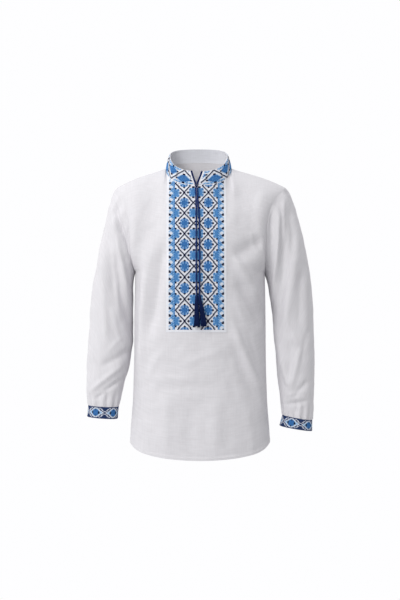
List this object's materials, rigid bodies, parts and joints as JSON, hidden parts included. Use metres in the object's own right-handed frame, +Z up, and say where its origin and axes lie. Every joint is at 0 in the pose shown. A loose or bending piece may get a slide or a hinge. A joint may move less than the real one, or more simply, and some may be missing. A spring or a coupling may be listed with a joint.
{
  "type": "embroidered blouse",
  "caption": "Hollow linen pullover blouse as worn: open stand collar, embroidered front panel and cuffs, long sleeves, tasselled ties, shirt-tail hem.",
  "frame": {"origin": "between the shoulders, near the height at which the shoulder seams meet the collar, in the plane of the side seams", "axes": "+Z up, the wearer faces -Y, the wearer's left is +X"},
  "size_m": [0.6143, 0.2517, 0.8325],
  "materials": {
    "linen": "plain-weave white linen with fine slubs",
    "embroidery": "white linen covered in blue and navy cross stitch",
    "navy_cord": "twisted navy cotton"
  },
  "bodies": {
    "root": {"front": "linen", "back": "linen", "sleeve_left_upper": "linen", "sleeve_left_lower": "linen", "sleeve_right_upper": "linen", "sleeve_right_lower": "linen", "front_panel": "embroidery", "collar": "embroidery", "cuff_left": "embroidery", "cuff_right": "embroidery", "edging_left": "navy_cord", "edging_right": "navy_cord", "tie_knot": "navy_cord", "tie_left": "navy_cord", "tie_right": "navy_cord", "tassel_left": "navy_cord", "tassel_right": "navy_cord"}
  },
  "joints": []
}
